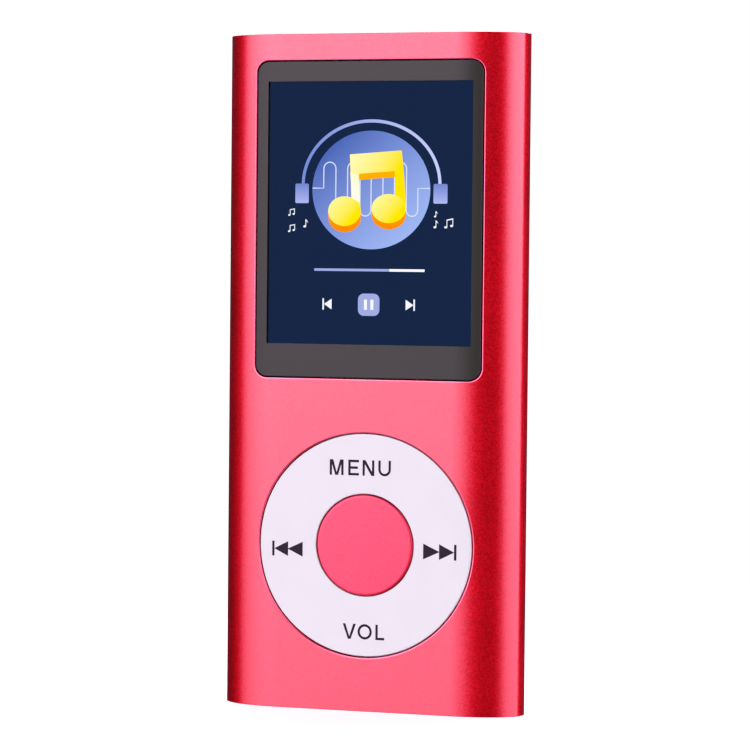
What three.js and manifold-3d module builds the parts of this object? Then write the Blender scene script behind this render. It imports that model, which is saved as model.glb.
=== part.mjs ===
// A slim digital audio player: a flat oval aluminium tube closed by two inset end caps, with a
// display window, a four-way rocker ring and a centre button on its front face. Inside are the
// display module, the main board with its switches, chips and sockets, and a pouch battery.
//
// Frame, in millimetres: +Z up along the player, -Y out of the front face, +X to the right as the
// front is looked at. The origin is the middle of the bottom face.
import * as THREE from "three";
import Module from "manifold-3d";
import { mergeVertices } from "three/addons/utils/BufferGeometryUtils.js";

const wasm = await Module();
wasm.setup();

// ---------------------------------------------------------------- driving dimensions
const BODY = { height: 90, halfWidth: 20.9, halfDepth: 4.6, halfFlat: 12, wall: 0.9 };
const FRONT = -BODY.halfDepth; // y of the flat front face
const INSIDE = BODY.halfDepth - BODY.wall; // half depth of the hollow
const FIT = 0.1; // gap all round between a part and the tube it slides into
const SEAT = 0.05; // gap between two faces that rest on each other

const WINDOW = { halfWidth: 15.85, bottom: 44.23, top: 86.42, radius: 1.7 };
const LENS = { gap: 0.12, thickness: 0.95, recess: 0.03 };
const SCREEN = { halfWidth: 14.02, bottom: 48.6, top: 83.64 }; // active area, 28.04 by 35.04
const WHEEL = { z: 22.15, opening: 14.95, outer: 14.8, inner: 6.84, flange: 15.3, recess: 0.06 };
const BUTTON = { radius: 6.7, flange: 7.5, travel: 0.3 };
const SWITCH = { offset: 11.2, side: 4, bodyHeight: 0.8, stemRadius: 0.95, height: 1.5 };
const BOARD = { front: -0.45, back: 0.35, halfWidth: 17.2, bottom: 2.6, top: 86.4 };
const CAP = { thickness: 1.8 };

// places of the sockets, the slider and the fasteners on the two end caps
const USB = { x: -4.5, y: 1.7, width: 7.4, depth: 2.55, skin: 0.25, mouth: 0.5, back: 6 };
const JACK = { x: 9.5, y: 0.6, bore: 1.8, collar: 2.5, width: 6.2, depth: 5, mouth: 0.4, back: 13.6 };
const POWER = { x: -9, y: 1.1, slotLength: 5.4, slotDepth: 1.7, knobLength: 3, knobDepth: 1.4 };
const POWER_TRAVEL = 2; // along +X, from off to on
const MIC = { x: 3.1, y: -1.05, hole: 0.5 };
const CAP_SCREW = { x: 16.9, headRadius: 1.15, headHeight: 0.7, shankRadius: 0.6, length: 4.2 };
const CARD = { z: 21.5, y: 1.15, slotHeight: 12.4, slotDepth: 1.3, length: 15, thickness: 1.5 };

// ---------------------------------------------------------------- geometry helpers
function box(x0, x1, y0, y1, z0, z1) {
  const geometry = new THREE.BoxGeometry(x1 - x0, y1 - y0, z1 - z0);
  return geometry.translate((x0 + x1) / 2, (y0 + y1) / 2, (z0 + z1) / 2);
}

// An outline in X and Y, extruded from z0 up to z1.
function prismZ(shape, z0, z1, curveSegments = 24) {
  const options = { depth: z1 - z0, bevelEnabled: false, curveSegments };
  return new THREE.ExtrudeGeometry(shape, options).translate(0, 0, z0);
}

// An outline in X and Z, extruded from y0 back to y1.
function prismY(shape, y0, y1, curveSegments = 12) {
  const options = { depth: y1 - y0, bevelEnabled: false, curveSegments };
  return new THREE.ExtrudeGeometry(shape, options).rotateX(Math.PI / 2).translate(0, y1, 0);
}

function cylinderY(radius, x, z, y0, y1, segments = 32) {
  const geometry = new THREE.CylinderGeometry(radius, radius, y1 - y0, segments);
  return geometry.translate(x, (y0 + y1) / 2, z);
}

function cylinderZ(radius, x, y, z0, z1, segments = 24) {
  const geometry = new THREE.CylinderGeometry(radius, radius, z1 - z0, segments);
  return geometry.rotateX(Math.PI / 2).translate(x, y, (z0 + z1) / 2);
}

// A closed profile of [radius, y] points, turned about the ring's own axis, which runs along Y.
// The profile goes back along its outer side and forward along its inner side.
function turnedAboutWheelAxis(profile, segments = 72) {
  const points = profile.map(([radius, y]) => new THREE.Vector2(radius, y));
  points.push(points[0].clone());
  return new THREE.LatheGeometry(points, segments).translate(0, 0, WHEEL.z);
}

// A rectangle with round corners, in the two axes of the plane that it is drawn in.
function roundedRectangle(u0, u1, v0, v1, r) {
  const shape = new THREE.Shape();
  shape.moveTo(u0 + r, v0);
  shape.lineTo(u1 - r, v0);
  shape.absarc(u1 - r, v0 + r, r, -Math.PI / 2, 0);
  shape.lineTo(u1, v1 - r);
  shape.absarc(u1 - r, v1 - r, r, 0, Math.PI / 2);
  shape.lineTo(u0 + r, v1);
  shape.absarc(u0 + r, v1 - r, r, Math.PI / 2, Math.PI);
  shape.lineTo(u0, v0 + r);
  shape.absarc(u0 + r, v0 + r, r, Math.PI, 1.5 * Math.PI);
  return shape;
}

// The tube's cross-section, drawn in by inset: flat front and back, and half-elliptical sides.
function bodySection(inset) {
  const { halfFlat, halfWidth, halfDepth } = BODY;
  const side = halfWidth - halfFlat - inset;
  const depth = halfDepth - inset;
  const shape = new THREE.Shape();
  shape.moveTo(-halfFlat, -depth);
  shape.lineTo(halfFlat, -depth);
  shape.absellipse(halfFlat, 0, side, depth, -Math.PI / 2, Math.PI / 2);
  shape.lineTo(-halfFlat, depth);
  shape.absellipse(-halfFlat, 0, side, depth, Math.PI / 2, 1.5 * Math.PI);
  return shape;
}

// A closed geometry as a manifold-3d solid, which joins and cuts.
function solid(geometry) {
  const bare = geometry.clone();
  bare.deleteAttribute("normal");
  bare.deleteAttribute("uv");
  const merged = mergeVertices(bare, 1e-4);
  return new wasm.Manifold(
    new wasm.Mesh({
      numProp: 3,
      vertProperties: new Float32Array(merged.attributes.position.array),
      triVerts: new Uint32Array(merged.index.array),
    }),
  );
}

function union(...geometries) {
  return geometries.map(solid).reduce((a, b) => a.add(b));
}

function cut(body, ...tools) {
  return tools.map(solid).reduce((left, tool) => left.subtract(tool), body);
}

function geometryOf(manifold) {
  const mesh = manifold.getMesh();
  const geometry = new THREE.BufferGeometry();
  geometry.setAttribute("position", new THREE.BufferAttribute(mesh.vertProperties, 3));
  geometry.setIndex(new THREE.BufferAttribute(mesh.triVerts, 1));
  return geometry.toNonIndexed();
}

// ---------------------------------------------------------------- materials
const finish = (color, roughness, metalness = 0) =>
  new THREE.MeshStandardMaterial({ color, roughness, metalness });

const anodised = finish(0xd8203c, 0.35, 1);
const whitePlastic = finish(0xf0e6ee, 0.45);
const redPlastic = finish(0xf04468, 0.5);
const blackPlastic = finish(0x1c1b1d, 0.5);
const framePlastic = finish(0xd9d6cf, 0.6);
const acrylic = finish(0x3c383b, 0.08);
const darkGlass = finish(0x18264a, 0.15);
const steel = finish(0xb9bbbf, 0.3, 1);
const goldSteel = finish(0xc9a25a, 0.35, 1);
const greenBoard = finish(0x14583a, 0.55);
const chipResin = finish(0x202124, 0.6);
const foam = finish(0x151515, 0.9);
const amberFilm = finish(0xb8741d, 0.4);
const pouch = finish(0xb4b8bd, 0.4, 0.6);
const redWire = finish(0xc0181f, 0.5);
const blackWire = finish(0x121212, 0.5);

const player = new THREE.Group();

// Adds one named mesh from a geometry or a manifold-3d solid.
function add(name, shape, material) {
  const geometry = shape.isBufferGeometry ? shape : geometryOf(shape);
  const mesh = new THREE.Mesh(geometry, material);
  mesh.name = name;
  player.add(mesh);
  return mesh;
}

// ---------------------------------------------------------------- casing
function bodyTube() {
  const { height, wall, halfWidth } = BODY;
  const { halfWidth: half, bottom, top, radius } = WINDOW;
  const through = 1; // how far each cutter runs past the face that it cuts
  return cut(
    solid(prismZ(bodySection(0), 0, height)),
    prismZ(bodySection(wall), -through, height + through),
    prismY(roundedRectangle(-half, half, bottom, top, radius), FRONT - through, 0),
    cylinderY(WHEEL.opening, 0, WHEEL.z, FRONT - through, 0, 72),
    cardSlot(-halfWidth - through, -halfWidth + 4),
  );
}

// The opening for a memory card, in the left side.
function cardSlot(x0, x1) {
  const { y, z, slotHeight, slotDepth } = CARD;
  return box(x0, x1, y - slotDepth / 2, y + slotDepth / 2, z - slotHeight / 2, z + slotHeight / 2);
}

// A cap's plate, which fits inside the tube's end and lies flush with it.
function capPlate(z0, z1) {
  return prismZ(bodySection(BODY.wall + FIT), z0, z1);
}

const LUG = { x0: 16, x1: 18, halfDepth: 1, length: 1.3 }; // the top cap's snap lugs

function topCap() {
  const { height } = BODY;
  const { x, y, slotLength, slotDepth } = POWER;
  const plateBottom = height - CAP.thickness;
  const below = plateBottom - 1;
  const above = height + 1;
  const [halfLength, halfDepth] = [slotLength / 2, slotDepth / 2];
  const lugs = [-1, 1].map((side) => {
    const [x0, x1] = [side * LUG.x0, side * LUG.x1].sort((a, b) => a - b);
    return box(x0, x1, -LUG.halfDepth, LUG.halfDepth, plateBottom - LUG.length, plateBottom + 0.5);
  });
  return cut(
    union(capPlate(plateBottom, height), ...lugs),
    box(x - halfLength, x + halfLength, y - halfDepth, y + halfDepth, below, above),
  );
}

function bottomCap() {
  const t = CAP.thickness;
  const below = -1;
  const above = t + 1;
  const clear = 0.15; // round each socket
  const slot = roundedRectangle(
    USB.x - USB.width / 2 - clear,
    USB.x + USB.width / 2 + clear,
    USB.y - USB.depth / 2 - clear,
    USB.y + USB.depth / 2 + clear,
    0.6,
  );
  const screws = [-1, 1].flatMap((side) => [
    cylinderZ(CAP_SCREW.shankRadius + 0.15, side * CAP_SCREW.x, 0, below, above),
    cylinderZ(CAP_SCREW.headRadius + 0.15, side * CAP_SCREW.x, 0, below, CAP_SCREW.headHeight + 0.2),
  ]);
  return cut(
    solid(capPlate(0, t)),
    prismZ(slot, below, above, 6),
    cylinderZ(JACK.collar + clear, JACK.x, JACK.y, below, above, 32),
    cylinderZ(MIC.hole, MIC.x, MIC.y, below, above, 16),
    ...screws,
  );
}

// A countersunk cap screw with a cross recess, head down, in from the bottom face.
function capScrew(side) {
  const x = side * CAP_SCREW.x;
  const headBottom = 0.15;
  const headTop = headBottom + CAP_SCREW.headHeight;
  const blade = 0.14;
  const reach = 0.7;
  const recess = 0.35;
  return cut(
    union(
      cylinderZ(CAP_SCREW.headRadius, x, 0, headBottom, headTop),
      cylinderZ(CAP_SCREW.shankRadius, x, 0, headTop - 0.1, headBottom + CAP_SCREW.length, 16),
    ),
    box(x - reach, x + reach, -blade, blade, 0, headBottom + recess),
    box(x - blade, x + blade, -reach, reach, 0, headBottom + recess),
  );
}

// ---------------------------------------------------------------- display
const LENS_BACK = FRONT + LENS.thickness;
const GASKET = { front: LENS_BACK + SEAT, back: -3.2, halfWidth: 15.5, margin: 0.35 };
const PANEL = { front: -3.1, back: -1.95, halfWidth: 15.8, bottom: 44.9, top: 86.2 };
const BACKLIGHT = { front: -1.9, back: -0.6, halfWidth: 16.9, bottom: 46.1, top: 86.6 };

// The lens fills the window and follows the curve of the tube's face.
function displayLens() {
  const { gap, recess } = LENS;
  const half = WINDOW.halfWidth - gap;
  const outline = roundedRectangle(
    -half,
    half,
    WINDOW.bottom + gap,
    WINDOW.top - gap,
    WINDOW.radius - gap,
  );
  const sheet = solid(prismY(outline, FRONT - 1, LENS_BACK));
  return sheet.intersect(solid(prismZ(bodySection(recess), 0, BODY.height)));
}

// The adhesive frame between the lens and the panel, open over the active area.
function lensGasket() {
  const { halfWidth, margin, front, back } = GASKET;
  const outer = roundedRectangle(-halfWidth, halfWidth, WINDOW.bottom + 0.5, WINDOW.top - 0.5, 1.2);
  const holeHalf = SCREEN.halfWidth + margin;
  const hole = box(-holeHalf, holeHalf, front - 1, back + 1, SCREEN.bottom - margin, SCREEN.top + margin);
  return cut(solid(prismY(outer, front, back, 6)), hole);
}

function lcdGlass() {
  return box(-PANEL.halfWidth, PANEL.halfWidth, PANEL.front, PANEL.back, PANEL.bottom, PANEL.top);
}

function lcdBacklight() {
  const { halfWidth, front, back, bottom, top } = BACKLIGHT;
  return box(-halfWidth, halfWidth, front, back, bottom, top);
}

// The flat ribbon that leaves the foot of the panel, turns back and lies on the board.
function lcdFlex() {
  const thickness = 0.15;
  const halfWidth = 7;
  const yPanel = PANEL.back + SEAT;
  const yBoard = BOARD.front - SEAT - thickness;
  const bend = (yBoard + thickness - yPanel) / 2; // outer radius of the turn
  const zBend = 43.9;
  const profile = new THREE.Shape();
  profile.moveTo(yPanel, 45.9);
  profile.lineTo(yPanel, zBend);
  profile.absarc(yPanel + bend, zBend, bend, Math.PI, 2 * Math.PI);
  profile.lineTo(yBoard + thickness, 45.4);
  profile.lineTo(yBoard, 45.4);
  profile.lineTo(yBoard, zBend);
  profile.absarc(yPanel + bend, zBend, bend - thickness, 2 * Math.PI, Math.PI, true);
  profile.lineTo(yPanel + thickness, 45.9);
  const options = { depth: 2 * halfWidth, bevelEnabled: false, curveSegments: 12 };
  // The profile's two axes are Y and Z, and its depth is X.
  const axes = new THREE.Matrix4().set(0, 0, 1, -halfWidth, 1, 0, 0, 0, 0, 1, 0, 0, 0, 0, 0, 1);
  return new THREE.ExtrudeGeometry(profile, options).applyMatrix4(axes);
}

// ---------------------------------------------------------------- controls
const RING = { face: FRONT + WHEEL.recess, flangeTop: -2.95, back: -2.6, bore: 8, boreTop: -3.4 };
const POST_TIP = -2.3;
const ROCKER = { inner: 7.7, outer: 9.9, front: -2.3, back: -1.9, footRadius: 8.4, knobRadius: 9.1 };
const ROCKER_FOOT_TIP = BOARD.front - SEAT;
const SWITCH_TOP = BOARD.front - SEAT - SWITCH.height;

const DIRECTIONS = {
  menu: [0, 1],
  next: [1, 0],
  volume: [0, -1],
  previous: [-1, 0],
};

// The four-way ring: a face that follows the tube's curve, a flange that keeps it in the tube,
// and four short posts over the switches.
function controlRing() {
  const { face, flangeTop, back, bore, boreTop } = RING;
  const uncut = face - 1;
  const body = turnedAboutWheelAxis([
    [WHEEL.outer, uncut],
    [WHEEL.outer, flangeTop],
    [WHEEL.flange, flangeTop],
    [WHEEL.flange, back],
    [bore, back],
    [bore, boreTop],
    [WHEEL.inner, boreTop],
    [WHEEL.inner, uncut],
  ]);
  const faced = solid(body).intersect(solid(prismZ(bodySection(WHEEL.recess), 0, 50)));
  const posts = Object.values(DIRECTIONS).map(([dx, dz]) =>
    cylinderY(1.1, dx * SWITCH.offset, WHEEL.z + dz * SWITCH.offset, back - 0.3, POST_TIP, 20),
  );
  return posts.map(solid).reduce((joined, post) => joined.add(post), faced);
}

// The springy web under the ring: it rocks left and right on two feet that stand on the board,
// and carries two knobs that the ring rocks on up and down.
function rockerPlate() {
  const { inner, outer, front, back, footRadius, knobRadius } = ROCKER;
  const plate = turnedAboutWheelAxis([
    [outer, front],
    [outer, back],
    [inner, back],
    [inner, front],
  ]);
  const feet = [-1, 1].map((side) =>
    cylinderY(0.5, 0, WHEEL.z + side * footRadius, front + 0.1, ROCKER_FOOT_TIP, 16),
  );
  const knobs = [-1, 1].map((side) =>
    cylinderY(0.5, side * knobRadius, WHEEL.z, RING.back + SEAT, front + 0.1, 16),
  );
  return union(plate, ...feet, ...knobs);
}

function centreButton() {
  const face = RING.face;
  const flange = { front: -3, back: -2.6 };
  const stemTip = SWITCH_TOP - SEAT;
  return union(
    cylinderY(BUTTON.radius, 0, WHEEL.z, face, flange.front + 0.1, 64),
    cylinderY(BUTTON.flange, 0, WHEEL.z, flange.front, flange.back, 64),
    cylinderY(1.4, 0, WHEEL.z, flange.back - 0.1, stemTip, 24),
  );
}

function switchBody(x, z) {
  const half = SWITCH.side / 2;
  const back = BOARD.front - SEAT;
  return box(x - half, x + half, back - SWITCH.bodyHeight, back, z - half, z + half);
}

function tactSwitch([dx, dz]) {
  const x = dx * SWITCH.offset;
  const z = WHEEL.z + dz * SWITCH.offset;
  const stemFoot = BOARD.front - SEAT - SWITCH.bodyHeight + 0.2;
  return union(switchBody(x, z), cylinderY(SWITCH.stemRadius, x, z, SWITCH_TOP, stemFoot, 20));
}

// The centre switch has its stem apart, because the centre button drives it.
const STEM_FOOT = BOARD.front - SEAT - 0.1;

function centreSwitchBody() {
  const well = cylinderY(SWITCH.stemRadius + 0.08, 0, WHEEL.z, -3, STEM_FOOT - 0.02, 20);
  return cut(solid(switchBody(0, WHEEL.z)), well);
}

function centreSwitchStem() {
  const foot = STEM_FOOT - 0.02 - BUTTON.travel - SEAT;
  return cylinderY(SWITCH.stemRadius, 0, WHEEL.z, SWITCH_TOP, foot, 20);
}

// ---------------------------------------------------------------- power slider
const KNOB = {
  face: BODY.height - 0.15,
  neckFoot: BODY.height - CAP.thickness,
  flangeFoot: BODY.height - 2.5,
};

// The knob stands in the top cap's slot, at the slot's left end when the player is off.
function powerKnob() {
  const { x, y, knobLength, knobDepth } = POWER;
  const { face, neckFoot, flangeFoot } = KNOB;
  const x0 = x - knobLength / 2 - POWER_TRAVEL / 2;
  const x1 = x0 + knobLength;
  const grooves = [0.25, 0.5, 0.75].map((share) => {
    const middle = x0 + share * knobLength;
    return box(middle - 0.2, middle + 0.2, y - knobDepth, y + knobDepth, face - 0.25, face + 1);
  });
  const stem = box(x0, x1, y - knobDepth / 2, y + knobDepth / 2, neckFoot - 0.3, face);
  const flange = box(x0 - 0.5, x1 + 0.5, y - 1.1, y + 1.1, flangeFoot, neckFoot - 0.1);
  return cut(union(stem, flange), ...grooves);
}

function powerSwitchBody() {
  const { x, y } = POWER;
  const front = BOARD.back + SEAT;
  return box(x - 4.2, x + 4.2, front, y + 1.2, BODY.height - 6, KNOB.flangeFoot - 0.1);
}

// ---------------------------------------------------------------- sockets
function usbShell() {
  const { x, y, width, depth, skin, mouth, back } = USB;
  const outline = (inset) =>
    roundedRectangle(
      x - width / 2 + inset,
      x + width / 2 - inset,
      y - depth / 2 + inset,
      y + depth / 2 - inset,
      0.5,
    );
  return cut(solid(prismZ(outline(0), mouth, back, 6)), prismZ(outline(skin), -1, back - skin, 6));
}

function usbTongue() {
  const { x, y, mouth, back, skin } = USB;
  return box(x - 1.9, x + 1.9, y - 0.3, y + 0.3, mouth + 0.6, back - skin - SEAT);
}

// The 3.5 mm socket: a block let into a notch in the board, with a round collar in the cap.
function headphoneJack() {
  const { x, y, bore, collar, width, depth, mouth, back } = JACK;
  const blockBottom = CAP.thickness + 0.2;
  return cut(
    union(
      box(x - width / 2, x + width / 2, y - depth / 2, y + depth / 2, blockBottom, back),
      cylinderZ(collar, x, y, mouth, blockBottom + 0.2, 32),
    ),
    cylinderZ(bore, x, y, -1, back - 0.8, 32),
  );
}

function cardSocket() {
  const { z, length, thickness, slotHeight, slotDepth, y } = CARD;
  const x0 = -BOARD.halfWidth;
  const front = BOARD.back + SEAT;
  const half = (slotHeight + 1.8) / 2;
  const pocket = box(
    x0 - 1,
    x0 + length - 1,
    y - slotDepth / 2 + 0.1,
    y + slotDepth / 2 - 0.1,
    z - slotHeight / 2 + 0.4,
    z + slotHeight / 2 - 0.4,
  );
  return cut(solid(box(x0, x0 + length, front, front + thickness, z - half, z + half)), pocket);
}

function microphone() {
  const back = BOARD.front - SEAT;
  return box(MIC.x - 1.7, MIC.x + 1.4, back - 1.1, back, 2.9, 6.2);
}

// ---------------------------------------------------------------- board and chips
const BOARD_SCREWS = [
  [-15.2, 38.6],
  [15.2, 38.6],
];

const BOSS = { inner: 15, top: 6.5 }; // where the cap screws bite into the inner frame

// The same box on the right and on the left.
function bothSides(x0, x1, ...rest) {
  return [box(x0, x1, ...rest), box(-x1, -x0, ...rest)];
}

function mainBoard() {
  const { front, back, halfWidth, bottom, top } = BOARD;
  const notch = 0.25; // round the headphone socket
  const half = JACK.width / 2 + notch;
  return cut(
    solid(prismY(roundedRectangle(-halfWidth, halfWidth, bottom, top, 0.8), front, back, 6)),
    box(JACK.x - half, JACK.x + half, front - 1, back + 1, bottom - 1, JACK.back + notch),
    ...bothSides(BOSS.inner - notch, halfWidth + 1, front - 1, back + 1, 0, BOSS.top + notch),
    ...BOARD_SCREWS.map(([x, z]) => cylinderY(0.75, x, z, front - 1, back + 1, 16)),
  );
}

function boardScrew([x, z]) {
  const head = BOARD.back + SEAT;
  return union(
    cylinderY(1.2, x, z, head, head + 0.6, 20),
    cylinderY(0.6, x, z, BOARD.front - 1.2, head + 0.1, 16),
  );
}

// A part that stands on the back of the board.
function onBoardBack(x0, x1, z0, z1, height) {
  const front = BOARD.back + SEAT;
  return box(x0, x1, front, front + height, z0, z1);
}

// ---------------------------------------------------------------- inner frame
// One moulding that slides into the tube: side rails, cross bars, the deck round the ring, and the
// bosses that the cap and board screws bite into.
function innerFrame() {
  const end = { bottom: CAP.thickness + 0.15, top: BODY.height - CAP.thickness - 0.15 };
  const rail = { inner: BOARD.halfWidth + 0.2, outer: 20, halfDepth: 2.6 };
  const { halfDepth } = rail;
  const seat = BOARD.front - SEAT;
  const outline = solid(prismZ(bodySection(BODY.wall + FIT), end.bottom, end.top));
  const bars = union(
    ...bothSides(rail.inner, rail.outer, -halfDepth, halfDepth, end.bottom, end.top),
    box(-rail.outer, rail.outer, -3.5, 3.5, 86.8, end.top), // over the battery and display
    box(-rail.outer, rail.outer, -3.4, seat, 39.2, 41), // between display and ring
    box(-rail.outer, rail.outer, -1.9, -1.4, 6.7, 39.3), // the deck
    ...bothSides(BOSS.inner, rail.inner + 0.1, -halfDepth, 1.6, end.bottom, BOSS.top),
    ...BOARD_SCREWS.map(([x, z]) => cylinderY(1.3, x, z, -1.5, seat, 20)),
  );
  const lugHoles = bothSides(LUG.x0 - 0.3, LUG.x1 + 0.3, -1.3, 1.3, end.top - LUG.length - 0.3, 90);
  const screwHoles = [-1, 1].map((side) =>
    cylinderZ(CAP_SCREW.shankRadius + 0.1, side * CAP_SCREW.x, 0, 0, CAP_SCREW.length + 0.6, 16),
  );
  const half = JACK.width / 2 + 0.4;
  const switchRoom = box(POWER.x - 5.4, POWER.x + 5.4, -0.3, 4, 86, 89);
  return cut(
    outline.intersect(bars),
    ...lugHoles,
    ...screwHoles,
    ...BOARD_SCREWS.map(([x, z]) => cylinderY(0.7, x, z, -2, 1, 16)),
    cylinderY(13.7, 0, WHEEL.z, -3, 0, 64), // the ring's switches stand in this opening
    box(JACK.x - half, JACK.x + half, -3, 1, 0, JACK.back + 0.4),
    cardSlot(-25, 0.1 - rail.inner),
    switchRoom,
  );
}

// ---------------------------------------------------------------- battery
const CELL = { halfWidth: 13.5, front: 0.7, back: 3.4, bottom: 47.5, top: 83.4 };

function batteryCell() {
  const { halfWidth, front, back, bottom, top } = CELL;
  const outline = roundedRectangle(-halfWidth, halfWidth, front, back, 0.9);
  return prismZ(outline, bottom, top, 6);
}

function batteryTape() {
  const { halfWidth, front } = CELL;
  return box(1 - halfWidth, halfWidth - 1, BOARD.back + SEAT, front - SEAT, 50, 81);
}

function batteryBoard() {
  return box(-9, 3, 1.5, 2.3, 45.3, CELL.bottom - SEAT);
}

// A battery lead, from the cell's own small board to its pad on the main board.
const LEADS = { red: -8, black: -11 };

function batteryLead(padX, startX) {
  const radius = 0.35;
  const padY = BOARD.back + SEAT + radius;
  const path = new THREE.CatmullRomCurve3([
    new THREE.Vector3(startX, 1.9, 45.2),
    new THREE.Vector3(startX, 1.9, 44.6),
    new THREE.Vector3((startX + padX) / 2, 1.5, 43.6),
    new THREE.Vector3(padX, padY + 0.1, 42.8),
    new THREE.Vector3(padX, padY, 41.6),
  ]);
  const section = new THREE.Shape().absarc(0, 0, radius, 0, 2 * Math.PI);
  const options = { steps: 16, bevelEnabled: false, curveSegments: 10, extrudePath: path };
  return new THREE.ExtrudeGeometry(section, options);
}

// ---------------------------------------------------------------- assembly
add("body_tube", bodyTube(), anodised);
add("top_cap", topCap(), blackPlastic);
add("bottom_cap", bottomCap(), blackPlastic);
add("cap_screw_left", capScrew(-1), steel);
add("cap_screw_right", capScrew(1), steel);
add("inner_frame", innerFrame(), framePlastic);

add("display_lens", displayLens(), acrylic);
add("lens_gasket", lensGasket(), foam);
add("lcd_glass", lcdGlass(), darkGlass);
add("lcd_backlight", lcdBacklight(), whitePlastic);
add("lcd_flex", lcdFlex(), amberFilm);

add("control_ring", controlRing(), whitePlastic);
add("rocker_plate", rockerPlate(), goldSteel);
add("centre_button", centreButton(), redPlastic);
for (const [name, direction] of Object.entries(DIRECTIONS)) {
  add(`tact_switch_${name}`, tactSwitch(direction), steel);
}
add("tact_switch_centre", centreSwitchBody(), steel);
add("centre_switch_stem", centreSwitchStem(), blackPlastic);

add("power_knob", powerKnob(), blackPlastic);
add("power_switch", powerSwitchBody(), steel);
add("usb_shell", usbShell(), steel);
add("usb_tongue", usbTongue(), blackPlastic);
add("headphone_jack", headphoneJack(), blackPlastic);
add("card_socket", cardSocket(), steel);
add("microphone", microphone(), goldSteel);

add("main_board", mainBoard(), greenBoard);
add("board_screw_left", boardScrew(BOARD_SCREWS[0]), steel);
add("board_screw_right", boardScrew(BOARD_SCREWS[1]), steel);
add("processor_chip", onBoardBack(1, 13, 16.5, 28.5, 1.2), chipResin);
add("memory_chip", onBoardBack(-6, 13.5, 30, 41, 1), chipResin);
add("radio_chip", onBoardBack(-6, -2, 8.5, 12.5, 0.8), chipResin);
add("crystal", onBoardBack(2, 5.2, 10, 12.5, 0.8), steel);

add("battery_cell", batteryCell(), pouch);
add("battery_tape", batteryTape(), foam);
add("battery_board", batteryBoard(), greenBoard);
add("battery_lead_red", batteryLead(LEADS.red, -5), redWire);
add("battery_lead_black", batteryLead(LEADS.black, -7.5), blackWire);

export default player;
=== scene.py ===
# A slim digital audio player in a satin anodised tube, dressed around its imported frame.
# Metres throughout: +Z up, -Y out of the player's front, +X to the right seen from the front.
import math

import bmesh
import bpy
from mathutils import Matrix, Vector


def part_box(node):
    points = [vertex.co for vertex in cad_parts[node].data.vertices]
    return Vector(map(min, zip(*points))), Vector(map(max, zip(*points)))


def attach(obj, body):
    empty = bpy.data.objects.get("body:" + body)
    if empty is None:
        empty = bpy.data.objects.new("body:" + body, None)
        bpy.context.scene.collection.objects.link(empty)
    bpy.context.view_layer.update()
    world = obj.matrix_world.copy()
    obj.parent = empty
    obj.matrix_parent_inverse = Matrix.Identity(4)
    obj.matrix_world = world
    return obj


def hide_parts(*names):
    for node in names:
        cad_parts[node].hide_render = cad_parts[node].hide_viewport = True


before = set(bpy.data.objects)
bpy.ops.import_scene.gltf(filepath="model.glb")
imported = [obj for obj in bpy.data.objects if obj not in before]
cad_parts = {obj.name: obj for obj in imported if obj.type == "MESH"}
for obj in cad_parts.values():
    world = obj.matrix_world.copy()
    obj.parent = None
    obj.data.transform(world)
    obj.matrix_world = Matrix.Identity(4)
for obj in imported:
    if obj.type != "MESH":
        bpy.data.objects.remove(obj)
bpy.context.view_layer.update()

MM = 0.001

# ---- sizes taken from the frame
CASING, RING, BUTTON, SLIDER = "casing", "ring", "button", "slider"

_, tube_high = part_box("body_tube")
HALF_WIDTH, HALF_DEPTH, HEIGHT = tube_high.x, tube_high.y, tube_high.z
SIDE = 8.9 * MM  # half-axis of the tube's elliptical sides, along X
HALF_FLAT = HALF_WIDTH - SIDE
WALL = 0.9 * MM
CHAMFER = 0.19 * MM  # round the openings in the tube
SHORTEST_EDGE = 0.15 * MM  # along a cut
FRONT = -HALF_DEPTH
CARD_SLOT_Z, CARD_SLOT_Y = 21.5 * MM, 1.15 * MM
CARD_SLOT_HEIGHT, CARD_SLOT_DEPTH = 12.4 * MM, 1.3 * MM

lens_low, lens_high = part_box("display_lens")
LENS_GAP = 0.12 * MM
LENS_BACK = lens_high.y
WINDOW_RADIUS = 1.7 * MM

ring_low, ring_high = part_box("control_ring")
WHEEL_Z = (ring_low.z + ring_high.z) / 2
RING_FLANGE = ring_high.x
RING_OUTER = RING_FLANGE - 0.5 * MM
RING_OPENING = RING_OUTER + 0.15 * MM
RING_INNER = 6.84 * MM
RING_RECESS = 0.06 * MM
_, button_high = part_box("centre_button")
BUTTON_FLANGE = button_high.x
BUTTON_RADIUS = BUTTON_FLANGE - 0.8 * MM

GLASS_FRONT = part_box("lcd_glass")[0].y
SCREEN_LEFT, SCREEN_RIGHT = -14.12 * MM, 14.4 * MM
SCREEN_LOW, SCREEN_HIGH = 48.78 * MM, 83.64 * MM


# ---- the tube's section
def face_depth(x, inset=0.0):
    """How far the face of the tube, drawn in by inset, lies from the middle plane at x."""
    over = abs(x) - HALF_FLAT
    depth = HALF_DEPTH - inset
    if over <= 0:
        return depth
    share = min(over / (SIDE - inset), 1)
    return depth * math.sqrt(1 - share * share)


def off_section(x, y, inset):
    """How far a point lies, inwards or outwards, from the tube's section drawn in by inset."""
    over = max(abs(x) - HALF_FLAT, 0.0)
    across, deep = SIDE - inset, HALF_DEPTH - inset
    level = (over / across) ** 2 + (y / deep) ** 2 - 1
    slope = 2 * math.hypot(over / across**2, y / deep**2)
    return abs(level) / max(slope, 1)


def section_normal(x, y):
    """The outward normal of the tube's section at a point on its surface."""
    over = max(abs(x) - HALF_FLAT, 0.0)
    normal = Vector((math.copysign(over / SIDE**2, x), y / HALF_DEPTH**2, 0))
    return normal.normalized()


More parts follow.
